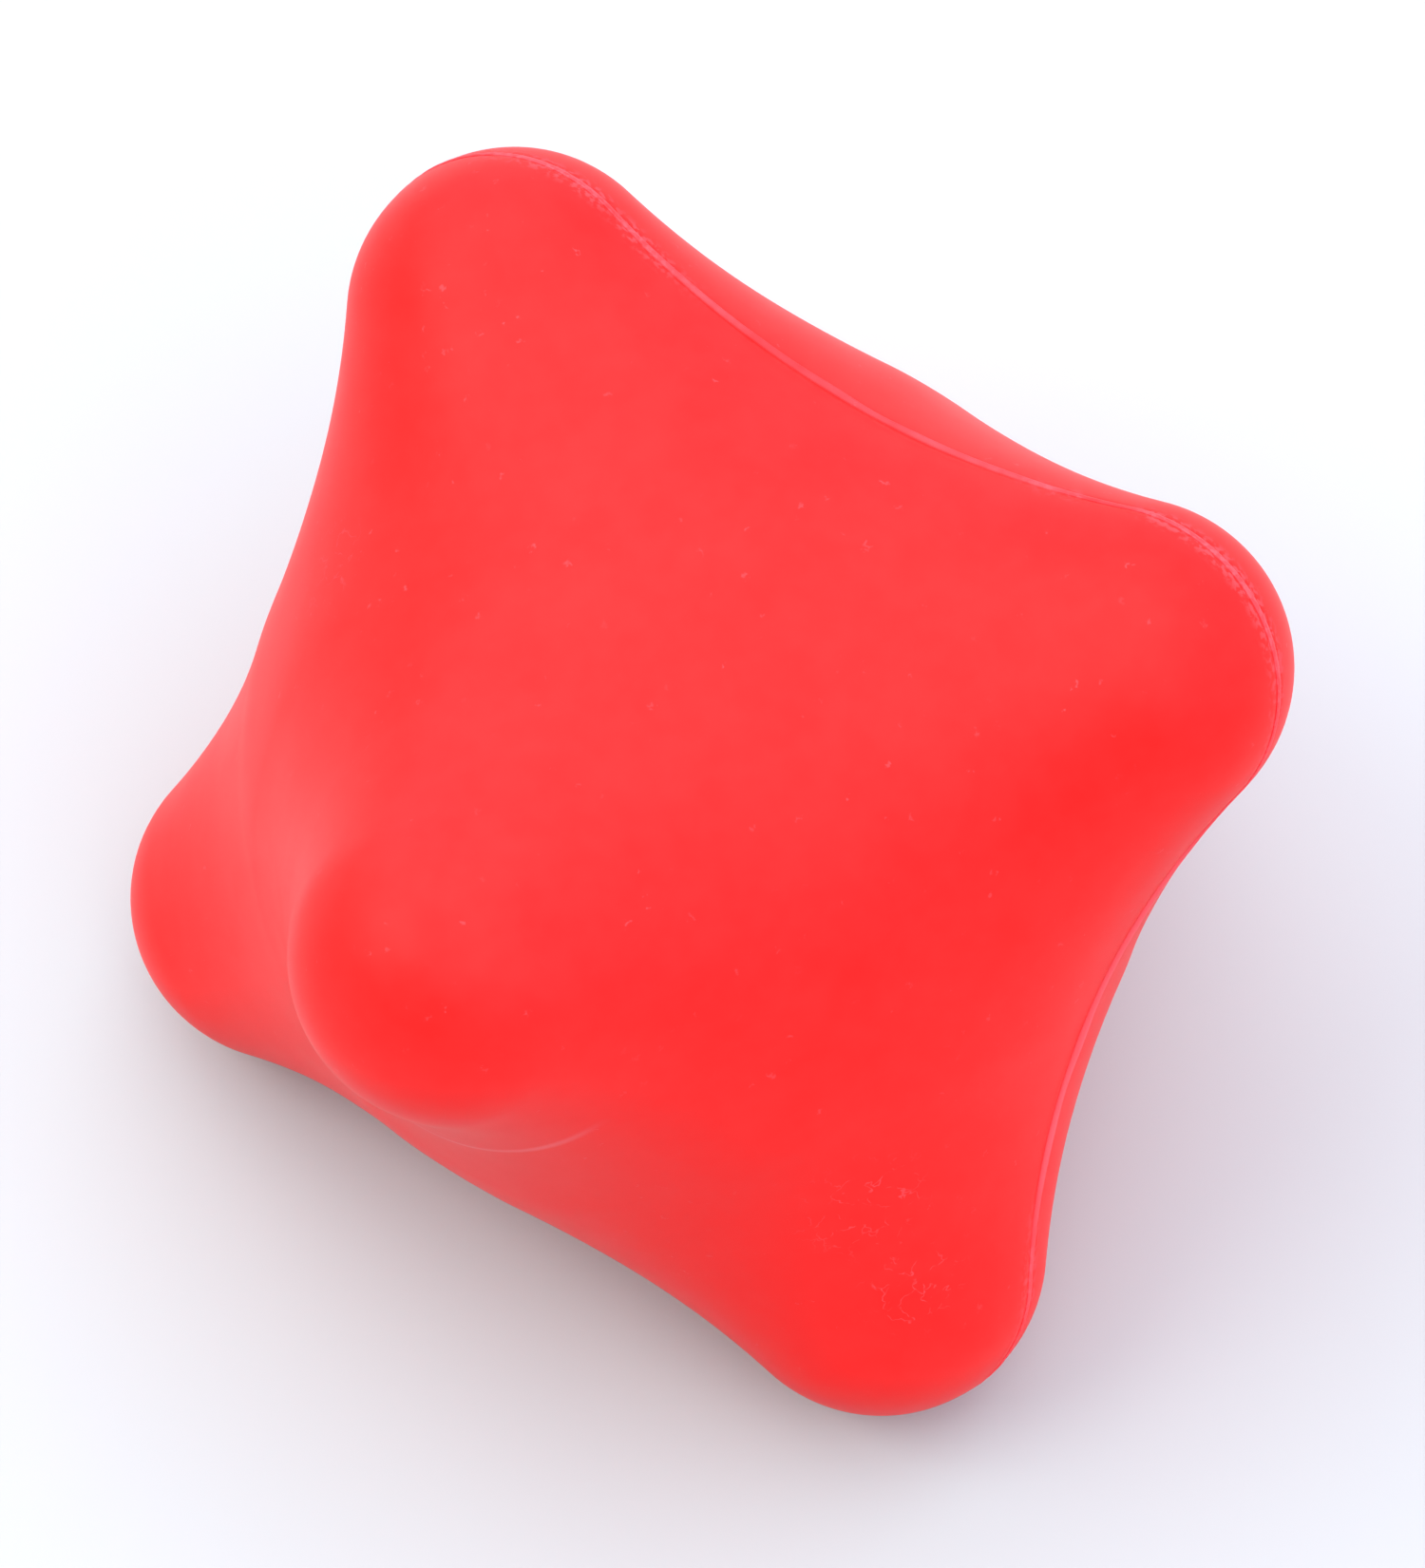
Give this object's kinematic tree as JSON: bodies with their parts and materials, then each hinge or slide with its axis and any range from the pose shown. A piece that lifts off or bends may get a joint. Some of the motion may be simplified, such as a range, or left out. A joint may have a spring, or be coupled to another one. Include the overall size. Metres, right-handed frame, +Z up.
{
  "type": "case opening friction ball",
  "caption": "Solid red rubber ball with round lobes on all sides, pressed on a watch's screw case back and turned by hand, so that its grip unscrews the back.",
  "frame": {"origin": "on the floor, straight under the centre of the ball, which stands on three of its lobes", "axes": "+Z up, through the middles of two opposite three-lobed faces; -Y towards the side on which the front half's own lobe is raised"},
  "size_m": [0.0534, 0.0586, 0.0464],
  "materials": {
    "red_rubber": "satin",
    "flash_rubber": "satin"
  },
  "bodies": {
    "root": {"front_half": "red_rubber", "rear_half": "red_rubber", "parting_flash": "flash_rubber"}
  },
  "joints": []
}
